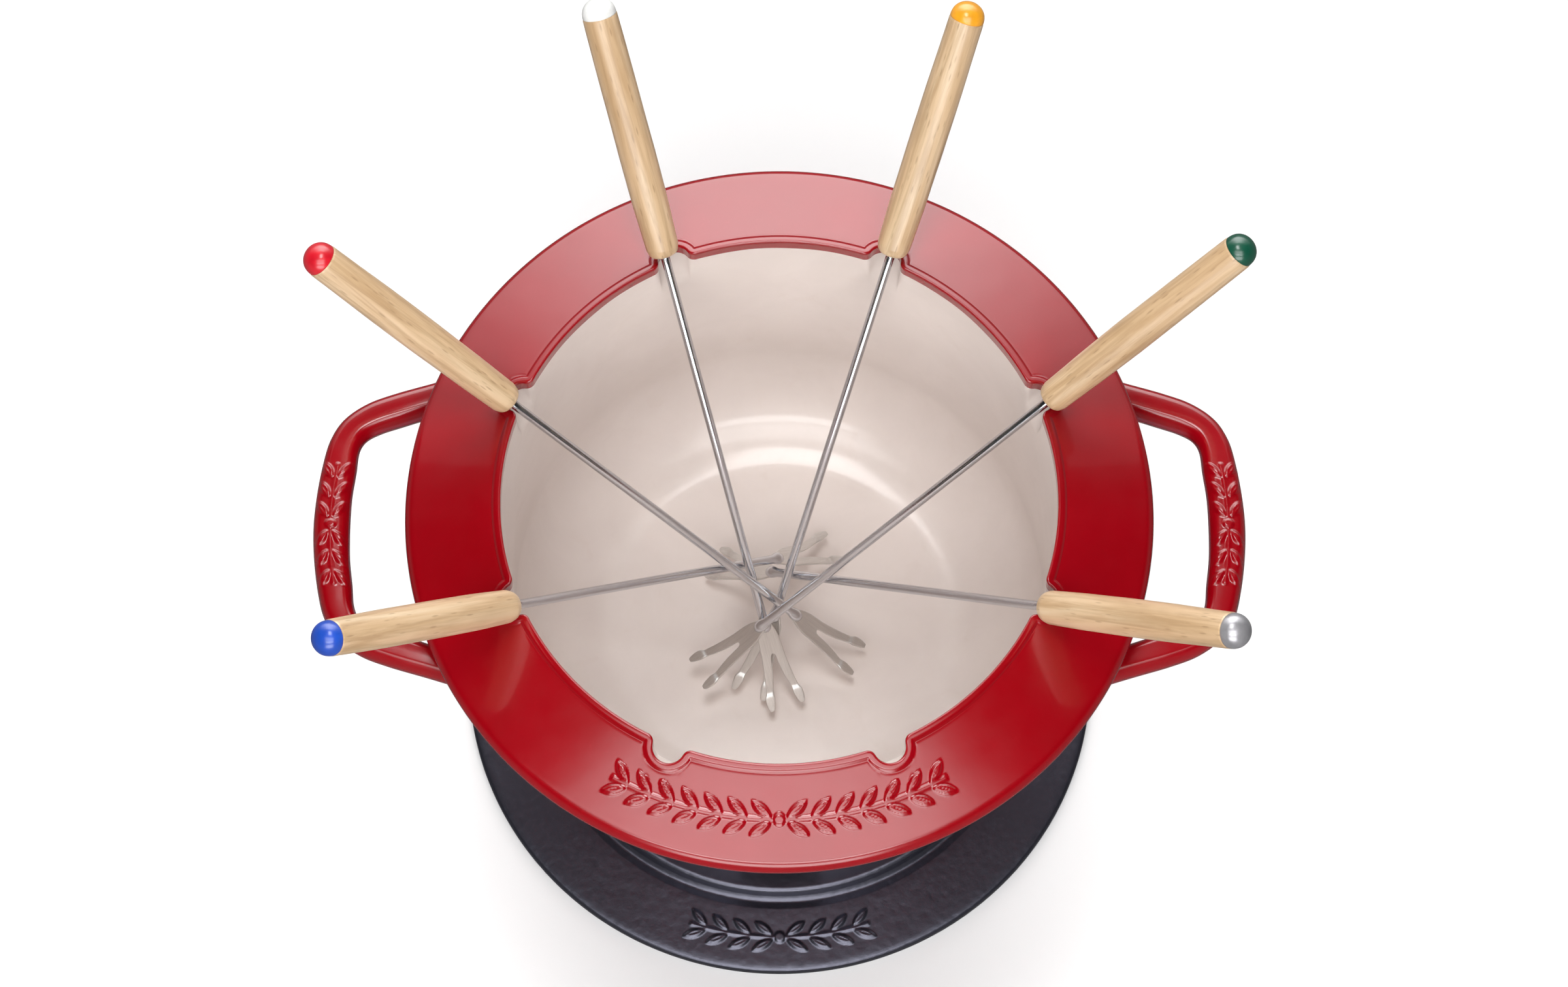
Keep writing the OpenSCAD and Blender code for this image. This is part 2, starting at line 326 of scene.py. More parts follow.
class Paint(Nodes):
    """A material for a piece, built round one Principled shader."""

    def __init__(self, name):
        self.material = bpy.data.materials.new(name)
        self.material.use_nodes = True
        super().__init__(self.material.node_tree)
        self.bsdf = self.tree.nodes["Principled BSDF"]
        self.bump_in = None

    def coords(self, scale=(1.0, 1.0, 1.0), attribute=None):
        """Object coordinates, or a stored vector, with each axis scaled."""
        if attribute:
            source = self.node("ShaderNodeAttribute", attribute_name=attribute).outputs["Vector"]
        else:
            source = self.node("ShaderNodeTexCoord").outputs["Object"]
        mapping = self.node("ShaderNodeMapping")
        mapping.inputs["Scale"].default_value = scale
        self.feed(mapping.inputs["Vector"], source)
        return mapping.outputs["Vector"]

    def noise(self, coords, scale, detail=2.0, rough=0.5, distortion=0.0):
        node = self.node("ShaderNodeTexNoise")
        node.inputs["Scale"].default_value = scale
        node.inputs["Detail"].default_value = detail
        node.inputs["Roughness"].default_value = rough
        node.inputs["Distortion"].default_value = distortion
        self.feed(node.inputs["Vector"], coords)
        return node.outputs["Fac"]

    def cells(self, coords, scale, feature="F1"):
        node = self.node("ShaderNodeTexVoronoi", feature=feature)
        node.inputs["Scale"].default_value = scale
        self.feed(node.inputs["Vector"], coords)
        return node.outputs["Distance"]

    def ramp(self, value, *stops):
        """A colour ramp; each stop is (position, colour or grey)."""
        node = self.node("ShaderNodeValToRGB")
        elements = node.color_ramp.elements
        while len(elements) < len(stops):
            elements.new(0.5)
        for element, (position, colour) in zip(elements, stops):
            element.position = position
            shade = colour if isinstance(colour, tuple) else (colour, colour, colour)
            element.color = (*shade, 1.0)
        self.feed(node.inputs["Fac"], value)
        return node.outputs["Color"]

    def mix(self, factor, a, b):
        node = self.node("ShaderNodeMix", data_type="RGBA")
        self.feed(node.inputs["Factor"], factor)
        self.feed(node.inputs["A"], a)
        self.feed(node.inputs["B"], b)
        return node.outputs["Result"]

    def bump(self, height, distance):
        """Adds a layer of bump; distance is in metres."""
        node = self.node("ShaderNodeBump")
        node.inputs["Strength"].default_value = 1.0
        node.inputs["Distance"].default_value = distance
        self.feed(node.inputs["Height"], height)
        if self.bump_in:
            self.feed(node.inputs["Normal"], self.bump_in)
        self.bump_in = node.outputs["Normal"]

    def finish(self, colour, roughness, **constants):
        """Connects the colour, roughness and bump; constants are other inputs of the shader."""
        self.feed(self.bsdf.inputs["Base Color"], colour)
        self.feed(self.bsdf.inputs["Roughness"], roughness)
        for key, value in constants.items():
            self.bsdf.inputs[key.replace("_", " ")].default_value = value
        if self.bump_in:
            self.feed(self.bsdf.inputs["Normal"], self.bump_in)
        return self.material


def red_enamel():
    paint = Paint("red_enamel_look")
    where = paint.coords()
    cloud = paint.noise(where, 22.0, 3.0, 0.55)
    speck = paint.noise(where, 900.0, 2.0, 0.6)
    colour = paint.ramp(cloud, (0.3, (0.232, 0.0, 0.0028)), (0.7, (0.262, 0.0, 0.0044)))
    colour = paint.mix(paint.ramp(speck, (0.62, 0.0), (0.80, 0.35)), colour, (0.305, 0.001, 0.007))
    paint.bump(paint.noise(where, 55.0, 1.0, 0.4), 0.00022)
    paint.bump(paint.noise(where, 420.0, 1.0, 0.5), 0.000012)
    rough = paint.span(paint.noise(where, 130.0, 2.0, 0.6), 0.16, 0.26)
    return paint.finish(colour, rough, IOR=1.5, Coat_Weight=0.35, Coat_Roughness=0.05, Coat_IOR=1.5)


def cream_enamel():
    paint = Paint("cream_enamel_look")
    where = paint.coords()
    cloud = paint.noise(where, 30.0, 5.0, 0.6, 0.4)
    stain = paint.noise(where, 75.0, 3.0, 0.6, 0.8)
    colour = paint.ramp(cloud, (0.30, (0.665, 0.590, 0.550)), (0.70, (0.715, 0.640, 0.600)))
    colour = paint.mix(paint.ramp(stain, (0.60, 0.0), (0.78, 0.22)), colour, (0.610, 0.510, 0.455))
    paint.bump(paint.noise(where, 38.0, 1.0, 0.4), 0.00010)
    rough = paint.span(paint.noise(where, 70.0, 2.0, 0.5), 0.29, 0.38)
    return paint.finish(colour, rough, IOR=1.5, Coat_Weight=0.4, Coat_Roughness=0.09, Coat_IOR=1.5)


def cast_iron():
    paint = Paint("cast_iron_black_look")
    where = paint.coords()
    grain = paint.noise(where, 520.0, 3.0, 0.65)
    pits = paint.cells(where, 330.0, "SMOOTH_F1")
    cloud = paint.noise(where, 26.0, 3.0, 0.6)
    colour = paint.ramp(cloud, (0.3, (0.0065, 0.0062, 0.0092)), (0.7, (0.0095, 0.0091, 0.0130)))
    colour = paint.mix(paint.ramp(grain, (0.60, 0.0), (0.78, 0.7)), colour, (0.026, 0.025, 0.033))
    paint.bump(cloud, 0.00022)
    paint.bump(pits, 0.00009)
    paint.bump(grain, 0.00006)
    rough = paint.span(grain, 0.29, 0.42)
    blue_sheen = (0.80, 0.80, 1.0, 1.0)
    return paint.finish(colour, rough, IOR=1.6, Specular_IOR_Level=1.0, Specular_Tint=blue_sheen)


def steel(name, base, stretch, low, high, attribute=None):
    """Drawn or rolled stainless steel; the fine lines run along the axis with the small stretch."""
    paint = Paint(name)
    lines = paint.noise(paint.coords(stretch, attribute), 1.0, 4.0, 0.7)
    smudge = paint.noise(paint.coords(attribute=attribute), 60.0, 3.0, 0.6)
    shade = tuple(0.84 * c for c in base)
    colour = paint.ramp(lines, (0.3, shade), (0.7, base))
    paint.bump(lines, 0.00002)
    rough = paint.math("ADD", paint.span(lines, low, high), paint.span(smudge, -0.03, 0.05))
    if attribute:
        heat = paint.node("ShaderNodeAttribute", attribute_name="heat").outputs["Fac"]
        colour = paint.mix(heat, colour, (0.060, 0.062, 0.078))
    return paint.finish(colour, rough, Metallic=1.0)


def beech():
    paint = Paint("beech_look")
    fibre = paint.noise(paint.coords((1.0, 1.0, 0.045), "grain"), 420.0, 4.0, 0.65, 0.6)
    band = paint.noise(paint.coords((1.0, 1.0, 0.10), "grain"), 95.0, 3.0, 0.55, 1.4)
    flecks = paint.cells(paint.coords((1.0, 1.0, 0.16), "grain"), 620.0)
    smudge = paint.noise(paint.coords((1.0, 1.0, 0.4), "grain"), 60.0, 3.0, 0.6)
    colour = paint.ramp(band, (0.30, (0.450, 0.290, 0.150)), (0.52, (0.580, 0.405, 0.240)),
                        (0.72, (0.640, 0.485, 0.315)))
    colour = paint.mix(paint.ramp(fibre, (0.36, 0.50), (0.56, 0.0)), colour, (0.300, 0.175, 0.075))
    colour = paint.mix(paint.ramp(flecks, (0.10, 0.45), (0.22, 0.0)), colour, (0.210, 0.120, 0.050))
    colour = paint.mix(paint.ramp(smudge, (0.55, 0.0), (0.80, 0.40)), colour, (0.270, 0.165, 0.080))
    paint.bump(fibre, 0.00006)
    paint.bump(flecks, 0.00004)
    rough = paint.span(fibre, 0.52, 0.40)
    return paint.finish(colour, rough, IOR=1.5, Coat_Weight=0.6, Coat_Roughness=0.28)


def cap_paint(name):
    paint = Paint(f"cap_{name}_look")
    where = paint.coords(attribute="grain")
    cloud = paint.noise(where, 160.0, 3.0, 0.6)
    full = CAP_COLOURS[name]
    dark = tuple(0.70 * c for c in full)
    colour = paint.ramp(cloud, (0.3, dark), (0.7, full))
    paint.bump(paint.noise(where, 240.0, 2.0, 0.5), 0.00010)
    rough = paint.span(cloud, 0.29, 0.38)
    metallic = 0.55 if name == "grey" else 0.0
    return paint.finish(colour, rough, Metallic=metallic, Coat_Weight=0.5, Coat_Roughness=0.12)


def knob_plastic():
    paint = Paint("knob_black_look")
    grain = paint.noise(paint.coords(), 700.0, 3.0, 0.6)
    colour = paint.ramp(grain, (0.3, (0.018, 0.018, 0.019)), (0.7, (0.032, 0.031, 0.030)))
    paint.bump(grain, 0.00005)
    return paint.finish(colour, paint.span(grain, 0.35, 0.5))


def burning_paste():
    paint = Paint("burning_paste_look")
    lumps = paint.noise(paint.coords(), 90.0, 4.0, 0.6)
    colour = paint.ramp(lumps, (0.3, (0.42, 0.60, 0.78)), (0.7, (0.62, 0.76, 0.88)))
    paint.bump(lumps, 0.0012)
    rough = paint.span(lumps, 0.12, 0.24)
    return paint.finish(colour, rough, Subsurface_Weight=0.3, Subsurface_Scale=0.004)


FORK_LINES = (2600.0, 2600.0, 40.0)
BURNER_LINES = (900.0, 900.0, 60.0)

RED = red_enamel()
CREAM = cream_enamel()
IRON = cast_iron()
ROD_STEEL = steel("fork_rod_look", (0.64, 0.65, 0.68), FORK_LINES, 0.10, 0.17, "grain")
PLATE_STEEL = steel("fork_plate_look", (0.74, 0.73, 0.71), FORK_LINES, 0.32, 0.40, "grain")
BURNER_STEEL = steel("burner_steel_look", (0.62, 0.61, 0.60), BURNER_LINES, 0.32, 0.42)
BEECH = beech()


# ---- Pot ---------------------------------------------------------------------

def notch_bulge(angle):
    """How far the inner edge of the lip stands outside the plain circle."""
    step = 2.0 * math.pi / NOTCHES
    offset = (angle % step) - step / 2.0
    along = np.abs(offset) * BOWL_R
    # a round bottom that runs into the lip over a rounded corner on each side
    sink = NOTCH_DEPTH - NOTCH_R
    reach = math.sqrt((NOTCH_R + NOTCH_CORNER) ** 2 - (NOTCH_CORNER - sink) ** 2)
    meet = reach * NOTCH_R / (NOTCH_R + NOTCH_CORNER)
    bottom = sink + np.sqrt(np.clip(NOTCH_R ** 2 - along ** 2, 0.0, None))
    corner = NOTCH_CORNER - np.sqrt(np.clip(NOTCH_CORNER ** 2 - (along - reach) ** 2, 0.0, None))
    return np.where(along < meet, bottom, np.where(along < reach, corner, 0.0))


def brim_z(radius):
    """Height of the brim's plain sloping top."""
    return BRIM_FROM_Z - (radius - BRIM_FROM_R) * math.tan(BRIM_SLOPE)


def pot_step(angle):
    """Spacing of the pot's columns in degrees, closer together at the notches and the front sprig."""
    pitch = 360.0 / NOTCHES
    to_notch = abs((angle % pitch) - pitch / 2.0)
    if 2.5 < to_notch < 5.6:
        return 0.1
    if to_notch < 6.5 or degrees_from_front(angle) < 33.0:
        return 0.2
    return 0.7


def edge_distance(radius, angle, angles, edge):
    """Distance in plan from each point to the inner edge of the lip."""
    curve = np.stack([edge * np.cos(angles), edge * np.sin(angles)], axis=-1)
    best = np.full(radius.shape, 1e9)
    x = radius * np.cos(angle)
    y = radius * np.sin(angle)
    for shift in range(-45, 46):
        a = np.roll(curve, shift, axis=0)
        b = np.roll(curve, shift - 1, axis=0)
        d = b - a
        t = np.clip(((x - a[:, 0]) * d[:, 0] + (y - a[:, 1]) * d[:, 1]) / (d ** 2).sum(1), 0.0, 1.0)
        best = np.minimum(best, np.hypot(x - a[:, 0] - t * d[:, 0], y - a[:, 1] - t * d[:, 1]))
    return best


def wall_ring(angles, bulge, z):
    """One ring of points on the inside wall, where the notches run out as they go down."""
    depth = brim_z(BOWL_R + bulge) - z
    share = np.clip(1.0 - (depth - 1.0) / 17.0, 0.0, 1.0)
    radius = BOWL_R + bulge * share * (2.0 - share)
    return polar(radius, angles, z * np.ones(len(angles)))


def lip_inside(angles, bulge):
    """The red inside of the lip, from where the glaze meets the cream up to the rolled edge."""
    top = brim_z(BOWL_R + bulge)
    wave = 0.22 * np.sin(angles * 7.0) + 0.13 * np.sin(angles * 23.0 + 1.0)
    rings = [wall_ring(angles, bulge, top - 4.75 + wave)]
    for depth in (3.75, 2.75, 1.75, 1.15):
        rings.append(wall_ring(angles, bulge, top - depth))
    return np.array(rings)


def brim_top(angles, bulge):
    """The lip and the brim, in rings that run outwards from the inner edge."""
    edge = BOWL_R + bulge
    near = [0.0, 0.06, 0.2, 0.42, 0.7, 1.0, 1.35, 1.7, 1.95, 2.2, 2.45, 2.7, 2.95, 3.12, 3.3, 3.55, 3.9,
            4.4, 5.1, 5.8, 6.6, 7.4]
    far = np.arange(106.0, 126.6, 0.62)
    rows = [edge + s for s in near]
    rows += [np.maximum(r, edge + near[-1] + 0.05 * (k + 1)) for k, r in enumerate(far)]
    radius = np.array(rows)
    angle = np.repeat(angles[None, :], len(rows), axis=0)
    away = edge_distance(radius, angle, angles, edge)
    short = LIP_ROLL - np.minimum(away, LIP_ROLL)
    roll = np.sqrt(np.clip(LIP_ROLL ** 2 - short ** 2, 0.0, None)) - LIP_ROLL
    bead = BEAD_RISE * (1.0 - np.clip((away - BEAD_FLAT) / BEAD_FALL, 0.0, 1.0) ** 2)
    groove = -0.07 * np.exp(-((away - GROOVE_AT) / 0.35) ** 2)
    leaves = sprig(turn_from_front(angle) * BRIM_SPRIG_R, radius - BRIM_SPRIG_R, 7)
    return polar(radius, angle, brim_z(radius) + roll + bead + groove + 1.15 * leaves)


def pot_outline():
    """(radius, height) from the brim's rounded outer edge down the wall to the middle of the base."""
    turn = np.radians(np.linspace(90.0 - BRIM_SLOPE_DEG, -112.0, 26))
    edge = np.stack([EDGE_MID_R + EDGE_R * np.cos(turn), EDGE_MID_Z + EDGE_R * np.sin(turn)], axis=-1)
    wall = rounded([
        (EDGE_MID_R - 1.8, EDGE_MID_Z - 4.1, 0), (WALL_R + 6, EDGE_MID_Z + 0.6, 5),
        (WALL_R, EDGE_MID_Z - 8, 5), (WALL_R, BEND_Z, 0),
    ])
    turn = np.radians(np.linspace(0.0, -90.0, 22))
    bend_radius = FLOOR_R + (WALL_R - FLOOR_R) * np.cos(turn)
    bend = np.stack([bend_radius, BEND_Z + (BEND_Z - UNDER_Z) * np.sin(turn)], axis=-1)
    foot_from = FOOT_OUTER_R + 2.0
    foot = rounded([
        (foot_from, 54.6, 0), (FOOT_OUTER_R, 54.0, 0.8), (FOOT_OUTER_R, FOOT_Z, 0.7),
        (FOOT_INNER_R, FOOT_Z, 0.7), (FOOT_INNER_R, UNDER_Z, 0.4), (2.0, UNDER_Z, 0),
    ])
    bend = bend[bend_radius > foot_from]
    return refine(np.vstack([edge, wall[1:], bend[1:], foot]), 9.0)


def build_pot():
    angles = directions(pot_step)
    bulge = notch_bulge(angles)
    red = np.vstack([lip_inside(angles, bulge), brim_top(angles, bulge), spun(pot_outline(), angles)])
    verts, faces = ring_surface(red, UNDER_Z)
    pot = new_object("pot_red_enamel", verts, flipped(faces), RED)
    settle(pot, "pot", "red_enamel", "pot_body")

    # cream lining: the wall with the notches running out, the bend and the floor
    glaze_line = red[0, :, 2]
    heights = [glaze_line - d for d in (0.0, 0.25, 1.0, 2.0, 3.5, 5.5, 8.0, 11.0, 14.0, 18.0, 24.0)]
    heights.extend(np.linspace(155.0, BEND_Z, 10))
    wall = np.array([wall_ring(angles, bulge, z) for z in heights])
    turn = np.radians(np.linspace(0.0, -90.0, 40)[1:])
    bend = np.stack([FLOOR_R + BEND_R * np.cos(turn), BEND_Z + BEND_R * np.sin(turn)], axis=-1)
    floor = np.stack([np.linspace(FLOOR_R - 1.5, 1.5, 24), np.full(24, FLOOR_Z)], axis=-1)
    verts, faces = ring_surface(np.vstack([wall, spun(np.vstack([bend, floor]), angles)]), FLOOR_Z)
    settle(new_object("pot_cream_lining", verts, faces, CREAM), "pot", "cream_enamel")


def handle_lines():
    """Outer and inner outline of the right handle seen from above, as matching lists of points."""
    outer = [(74, 69.6), (90, 64.8), (106, 59.8), (122, 54.8), (136, 50.6), (146, 46.6), (154, 40.6),
             (158.6, 33.0), (161.0, 24.0), (162.8, 12.0)]
    inner = [(84, 56.0), (94, 52.4), (106, 48.4), (120, 43.6), (133, 39.2), (141, 36.4), (146.0, 33.4),
             (148.2, 28.6), (149.0, 21.0), (150.2, 11.0)]
    both = []
    for half, middle in ((outer, (163.5, 0.0)), (inner, (150.5, 0.0))):
        line = half + [middle] + [(x, -y) for x, y in reversed(half)]
        both.append(np.array(line, float))
    return both


def rounded_share(across, corner=0.30):
    """Height of a rounded section, 0 to 1, at a share of the way across it."""
    ease = np.clip(np.minimum(across, 1 - across) / corner, 0.0, 1.0)
    return np.sqrt(np.clip(1.0 - (1.0 - ease) ** 2.3, 0.0, None))


def build_handle(side):
    """A loft of rounded sections between the two outlines. side is 1 on the right, -1 on the left."""
    outer, inner = handle_lines()
    last = len(outer) - 1.0
    samples = np.concatenate([
        np.linspace(0, 7, 60), np.linspace(7, last - 7, 150)[1:], np.linspace(last - 7, last, 60)[1:],
    ])
    outer = spline(outer, samples)
    inner = spline(inner, samples)
    # one section, as share across (0 inner, 1 outer) and share of height: the top, then the underside
    top = np.linspace(0.0, 1.0, 30)
    under = np.linspace(1.0, 0.0, 16)[1:-1]
    across = np.concatenate([top, under])
    up = np.concatenate([rounded_share(top), -rounded_share(under)])
    crown = np.concatenate([0.5 * np.sin(math.pi * top), np.zeros(len(under))])
    on_top = np.concatenate([np.ones(len(top)), np.zeros(len(under))])
    cols = len(across)
    point = inner[:, None, :] + (outer - inner)[:, None, :] * across[None, :, None]
    middle_x = (outer[:, 0] + inner[:, 0]) / 2.0
    half_height = 5.5 + 0.4 * smoothstep(110.0, 80.0, middle_x)
    z = HANDLE_Z + up[None, :] * half_height[:, None] + crown[None, :]
    leaves = sprig(point[..., 1], (point[..., 0] - middle_x[:, None]) * 0.92, 3, 0.88)
    z = z + 0.85 * leaves * on_top[None, :] * smoothstep(0.55, 0.95, up)[None, :]
    z = np.minimum(z, HANDLE_Z + 6.9)
    verts = np.stack([side * point[..., 0], point[..., 1], z], axis=-1).reshape(-1, 3)
    faces = grid_faces(len(samples), cols, wrap=True)
    if side < 0:
        faces = flipped(faces)
    faces.append(tuple(range(cols)))
    faces.append(tuple(range((len(samples) - 1) * cols, len(samples) * cols)))
    name = "right" if side > 0 else "left"
    piece = new_object(f"pot_handle_{name}_enamel", verts, faces, RED)
    settle(piece, "pot", "red_enamel", f"pot_handle_{name}")


# ---- Stand and burner --------------------------------------------------------

def plate_step(angle):
    """Spacing of the foot plate's columns in degrees, closer together at the front sprig."""
    return 0.22 if degrees_from_front(angle) < 22.0 else 1.0


def plate_outline():
    """(radius, height) from under the rim, over the sloping plate and the ring groove, to the middle."""
    hub = [[2.0, HUB_Z], [30.0, HUB_Z], [60.0, HUB_Z], [78.0, HUB_Z]]
    groove = rounded([
        (82.0, HUB_Z, 0), (90.0, HUB_Z, 2.2), (90.9, 8.6, 1.2), (92.4, 6.9, 2.4), (95.6, 7.5, 2.0),
        (100.0, PLATE_TOP_Z, 0),
    ], 8.0)
    radius = np.arange(100.5, 114.6, 0.5)
    slope = np.stack([radius, PLATE_TOP_Z - (radius - 100.0) * 1.9 / 16.6], axis=-1)
    rim = rounded([
        (116.6, 5.1, 0), (PLATE_EDGE_R, 4.6, 1.5), (PLATE_EDGE_R, 0.9, 0.9), (118.0, 0.0, 0.4),
        (112.0, 0.0, 0),
    ], 12.0)
    return np.vstack([hub, groove, slope, rim])[::-1]


def build_plate():
    angles = directions(plate_step)
    outline = plate_outline()
    radius = np.repeat(outline[:, :1], len(angles), axis=1)
    height = np.repeat(outline[:, 1:], len(angles), axis=1)
    leaves = sprig(turn_from_front(angles[None, :]) * PLATE_SPRIG_R, radius - PLATE_SPRIG_R, 4)
    on_top = smoothstep(98.5, 99.5, radius) * smoothstep(114.5, 113.5, radius) * (height > 4.0)
    rings = polar(radius, angles[None, :], height + 0.95 * leaves * on_top)
    verts, faces = ring_surface(rings, HUB_Z)
    settle(new_object("stand_plate_cast", verts, faces, IRON), "stand", "cast_iron_black", "stand_plate")


def soften(name, width, material, segments=2):
    """Keeps a CAD node, rounds its edges and gives it a better material."""
    obj = nodes[name]
    obj.data.materials.clear()
    obj.data.materials.append(material)
    bevel = obj.modifiers.new("soft_edges", "BEVEL")
    bevel.width = width * MM
    bevel.segments = segments
    bevel.limit_method = "ANGLE"
    bevel.angle_limit = math.radians(35)
    bevel.harden_normals = False


# ---- Forks -------------------------------------------------------------------

# Outer and inner edge of one tine and half the neck: (height from the points, inner, outer)
TINE = np.array([
    (0.2, 5.20, 6.40), (0.7, 4.82, 6.78), (1.6, 4.40, 7.00), (3.0, 4.00, 7.15), (4.6, 3.60, 7.15),
    (5.2, 3.56, 7.05), (5.7, 3.55, 6.92), (6.1, 3.57, 6.68), (6.5, 3.57, 6.42), (6.9, 3.52, 6.22),
    (7.4, 3.42, 6.10), (8.0, 3.27, 6.00), (9.5, 2.85, 5.75), (12.0, 2.20, 5.35), (15.0, 1.60, 4.95),
    (18.0, 1.20, 4.60), (20.0, 1.02, 4.42), (21.0, 0.85, 4.34), (21.7, 0.50, 4.28), (22.0, 0.0, 4.25),
    (24.5, 0.0, 4.15), (27.5, 0.0, 3.95), (30.5, 0.0, 3.45), (33.0, 0.0, 2.65), (35.5, 0.0, 1.85),
    (38.0, 0.0, 1.45),
])


def fork_piece(name, part, points, faces, material, slot, seed):
    """A piece modelled along +Z from the fork's tip, laid in its place in the set."""
    tip, azimuth, slope = FORKS[name]
    aim = Matrix.Rotation(math.radians(azimuth), 4, "Z")
    lean = Matrix.Rotation(math.radians(90.0 - slope), 4, "Y")
    matrix = Matrix.Translation(Vector(tip)) @ (aim @ lean)
    placed = points @ np.array(matrix.to_3x3()).T + np.array(matrix.translation)
    obj = new_object(f"{name}_fork_{part}_finish", placed, faces, material)
    # the grain runs along each piece, and no two forks show the same part of it
    store(obj, "grain", (points + np.array([37.0, 19.0, 411.0]) * seed) * MM, "FLOAT_VECTOR")
    settle(obj, f"{name}_fork", slot, f"{name}_fork_{part}")
    return obj


def head_bend(z):
    """How far the stamped head leaves its plane: a bowed neck, and tines kinked at their barbs."""
    bow = 0.55 * np.sin(math.pi * np.clip((z - 8.0) / 26.0, 0.0, 1.0))
    steps = np.linspace(0.0, 9.0, 91)
    slope = 0.18 * smoothstep(7.6, 6.4, steps) + 0.42 * np.exp(-((steps - 6.5) / 0.8) ** 2)
    bent = np.cumsum(slope[::-1])[::-1] * 0.1
    return bow - np.interp(z, steps, bent, right=0.0)


def build_head(name, seed):
    """Stamped two-pronged head: a grid for each half, joined along the neck and thickened."""
    shares = np.linspace(0.0, 1.0, 5)
    verts = []
    faces = []
    for side in (-1, 1):
        first = len(verts)
        for z, inner, outer in TINE:
            for share in shares:
                verts.append((0.0, side * (inner + (outer - inner) * share), z))
        half = [tuple(first + corner for corner in face) for face in grid_faces(len(TINE), len(shares))]
        faces.extend(half if side > 0 else flipped(half))
    verts = np.array(verts)
    verts[:, 0] = head_bend(verts[:, 2])
    head = fork_piece(name, "head", verts, faces, PLATE_STEEL, "fork_steel", seed)
    store(head, "heat", smoothstep(33.5, 37.0, verts[:, 2]) * 0.7)
    weld = head.modifiers.new("join_halves", "WELD")
    weld.merge_threshold = 0.02 * MM
    plate = head.modifiers.new("plate", "SOLIDIFY")
    plate.thickness = 0.9 * MM
    plate.offset = 0.0
    edge = head.modifiers.new("worn_edge", "BEVEL")
    edge.width = 0.22 * MM
    edge.segments = 2
    edge.limit_method = "ANGLE"
    edge.angle_limit = math.radians(50)


def build_shank(name, seed):
    """Drawn rod with a bead of weld at its lower end."""
    bead = [(0.35, 31.2), (1.0, 31.5), (1.55, 32.1), (1.9, 33.0), (2.05, 34.0), (1.95, 35.0), (1.72, 36.0),
            (1.62, 37.2)]
    rod = [(ROD_R, z) for z in (40.0, 60.0, 90.0, 120.0, 150.0, 180.0, 205.0)]
    verts, faces = turned_points(np.array(bead + rod), 24)
    verts[verts[:, 2] < 36.5, 1] *= 1.12
    shank = fork_piece(name, "shank", verts, faces, ROD_STEEL, "fork_steel", seed)
    store(shank, "heat", 1.0 - smoothstep(34.6, 37.0, verts[:, 2]))


def build_wood(name, seed):
    """Turned wooden handle with a soft shoulder and a bored front, not quite round."""
    profile = refine(rounded([
        (1.55, WOOD_FROM + 12, 0), (1.75, WOOD_FROM + 0.7, 0.4), (2.3, WOOD_FROM, 0.4),
        (5.0, WOOD_FROM + 0.3, 2.2), (5.85, WOOD_FROM + 3.4, 2.0), (6.3, WOOD_FROM + 20, 40),
        (6.5, WOOD_FROM + 40, 60), (6.45, WOOD_FROM + 65, 60), (6.2, WOOD_TO - 0.9, 0.6),
        (5.9, WOOD_TO, 0.3), (0.6, WOOD_TO, 0),
    ], 10.0), 4.0)
    verts, faces = turned_points(profile, 40)
    phase = np.random.default_rng(100 + seed).uniform(0.0, 6.28, 2)
    spin = np.arctan2(verts[:, 1], verts[:, 0])
    along = verts[:, 2]
    uneven = 0.05 * np.sin(2 * spin + phase[0] + along * 0.05) + 0.04 * np.sin(along * 0.12 + phase[1])
    solid = np.hypot(verts[:, 0], verts[:, 1]) > 4.0
    verts[solid, :2] *= (1.0 + uneven[solid, None] / 6.2 - 0.012)
    fork_piece(name, "handle", verts, flipped(faces), BEECH, "beech", seed)


def build_cap(name, seed):
    """Painted dome on the end of the wood, with a short painted band below it."""
    turn = np.radians(np.linspace(4.0, 90.0, 14))[:-1]
    dome = np.stack([5.93 * np.sin(turn), WOOD_TO + 0.15 + 5.7 * np.cos(turn) ** 0.92], axis=-1)
    band = [[5.97, WOOD_TO + 0.15], [5.93, WOOD_TO - 0.25], [5.6, WOOD_TO - 0.3]]
    verts, faces = turned_points(np.vstack([dome, band]), 40)
    fork_piece(name, "cap", verts, flipped(faces), cap_paint(name), f"cap_{name}", seed)


# ---- Studio ------------------------------------------------------------------

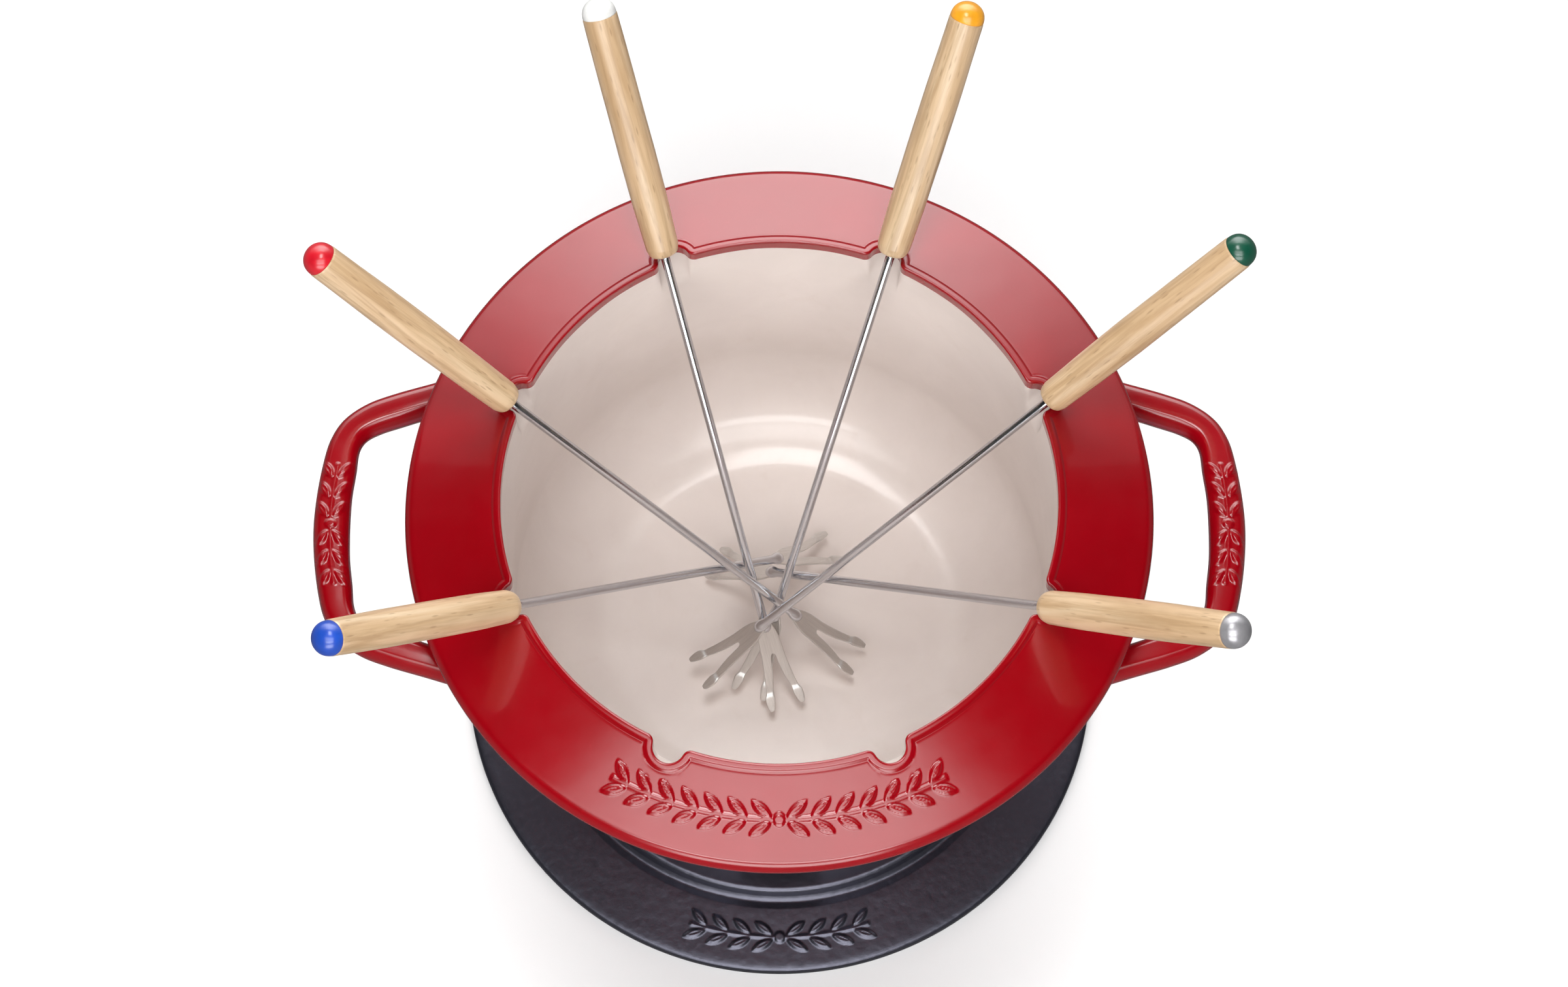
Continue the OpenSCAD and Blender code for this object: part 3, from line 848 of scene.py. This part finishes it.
def panel(name, centre, towards, width, height, strength, fade, least=0.0, curve=1.0):
    """A softbox: a flat glowing panel that fades towards its sides. It isn't part of the object."""
    glow = bpy.data.materials.new(f"{name}_glow")
    glow.use_nodes = True
    glow.node_tree.nodes.clear()
    tree = Nodes(glow.node_tree)
    split = tree.node("ShaderNodeSeparateXYZ")
    tree.feed(split.inputs["Vector"], tree.node("ShaderNodeTexCoord").outputs["Object"])
    soft = []
    for axis, half, share in (("X", width / 2, fade[0]), ("Y", height / 2, fade[1])):
        away = tree.math("ABSOLUTE", split.outputs[axis])
        soft.append(tree.span(away, 1.0, 0.0, half * (1.0 - share), half, "SMOOTHSTEP"))
    curved = tree.math("POWER", tree.math("MULTIPLY", *soft), curve)
    power = tree.math("MULTIPLY_ADD", curved, strength * (1.0 - least), strength * least)
    emit = tree.node("ShaderNodeEmission")
    tree.feed(emit.inputs["Strength"], power)
    tree.feed(tree.node("ShaderNodeOutputMaterial").inputs["Surface"], emit.outputs["Emission"])

    steps = 12
    places = np.arange(steps + 1) / steps - 0.5
    verts = [(x * width / MM, y * height / MM, 0.0) for y in places for x in places]
    obj = new_object(name, verts, grid_faces(steps + 1, steps + 1), glow, smooth=False)
    obj.rotation_euler = (Vector(towards) - Vector(centre)).to_track_quat("Z", "Y").to_euler()
    obj.location = centre
    obj.visible_camera = False


def build_floor():
    """Plain pale floor, left out of reflections so that undersides stay dark."""
    paint = Paint("studio_floor")
    cloud = paint.noise(paint.coords(), 3.0, 2.0, 0.5)
    look = paint.finish(paint.ramp(cloud, (0.3, 0.86), (0.7, 0.89)), 0.8, Specular_IOR_Level=0.1)
    size = 6000.0
    corners = [(-size, -size, 0), (size, -size, 0), (size, size, 0), (-size, size, 0)]
    floor = new_object("studio_floor", corners, [(0, 1, 2, 3)], look, smooth=False)
    floor.visible_glossy = False


def build_lights():
    panel("back_softbox", (0.0, 1.55, 1.45), (0.0, 0.0, 1.45), 4.6, 2.3, 5.6, (0.95, 0.2), 0.1, 2.2)
    panel("top_softbox", (-0.05, 0.09, 1.12), (-0.05, 0.09, 0.0), 0.40, 0.42, 11.0, (0.6, 0.2))
    panel("front_softbox", (-0.04, -0.60, 1.23), (-0.04, -0.44, 0.0), 1.56, 0.60, 4.4, (0.55, 0.45))
    panel("front_strip", (-0.04, -0.93, 1.16), (-0.04, 0.0, 0.18), 1.5, 0.34, 9.0, (0.5, 0.15))
    panel("low_softbox", (-0.05, -1.70, 0.75), (-0.05, 0.0, 0.18), 1.8, 0.8, 6.2, (0.5, 0.3))


def build_world():
    """Plain pale backdrop for the camera; as a light it is dark overhead and paler near the ground."""
    world = bpy.data.worlds.new("studio")
    bpy.context.scene.world = world
    world.use_nodes = True
    world.node_tree.nodes.clear()
    tree = Nodes(world.node_tree)
    seen = tree.node("ShaderNodeBackground")
    tree.feed(seen.inputs["Color"], (0.93, 0.93, 0.93))
    fill = tree.node("ShaderNodeBackground")
    tree.feed(fill.inputs["Color"], (1.0, 1.0, 1.0))
    split = tree.node("ShaderNodeSeparateXYZ")
    tree.feed(split.inputs["Vector"], tree.node("ShaderNodeTexCoord").outputs["Generated"])
    tree.feed(fill.inputs["Strength"], tree.span(split.outputs["Z"], 0.16, 0.02, 0.05, 0.38))
    either = tree.node("ShaderNodeMixShader")
    tree.feed(either.inputs["Fac"], tree.node("ShaderNodeLightPath").outputs["Is Camera Ray"])
    tree.feed(either.inputs[1], fill.outputs["Background"])
    tree.feed(either.inputs[2], seen.outputs["Background"])
    tree.feed(tree.node("ShaderNodeOutputWorld").inputs["Surface"], either.outputs["Shader"])


def build_camera():
    data = bpy.data.cameras.new("camera")
    data.lens = 102.9
    data.sensor_width = 36.0
    data.clip_end = 50.0
    camera = bpy.data.objects.new("camera", data)
    camera.location = (0.00162, -0.5502, 1.6310)
    degrees_down = 69.06
    camera.rotation_euler = (math.radians(90.0 - degrees_down), 0.0, 0.0)
    bpy.context.scene.collection.objects.link(camera)
    bpy.context.scene.camera = camera
    bpy.context.scene.view_settings.view_transform = "Standard"


build_pot()
build_handle(1)
build_handle(-1)
build_plate()
soften("stand_drum", 0.9, IRON, 3)
soften("stand_seat", 0.8, IRON, 3)
soften("burner_paste", 1.5, burning_paste(), 3)
soften("burner_cup", 0.25, BURNER_STEEL)
soften("burner_cover", 0.3, BURNER_STEEL)
soften("burner_regulator", 0.25, BURNER_STEEL)
soften("burner_lever", 0.25, BURNER_STEEL)
soften("burner_knob", 0.3, knob_plastic())
for number, fork in enumerate(FORKS):
    build_head(fork, number)
    build_shank(fork, number)
    build_wood(fork, number)
    build_cap(fork, number)
build_floor()
build_lights()
build_world()
build_camera()
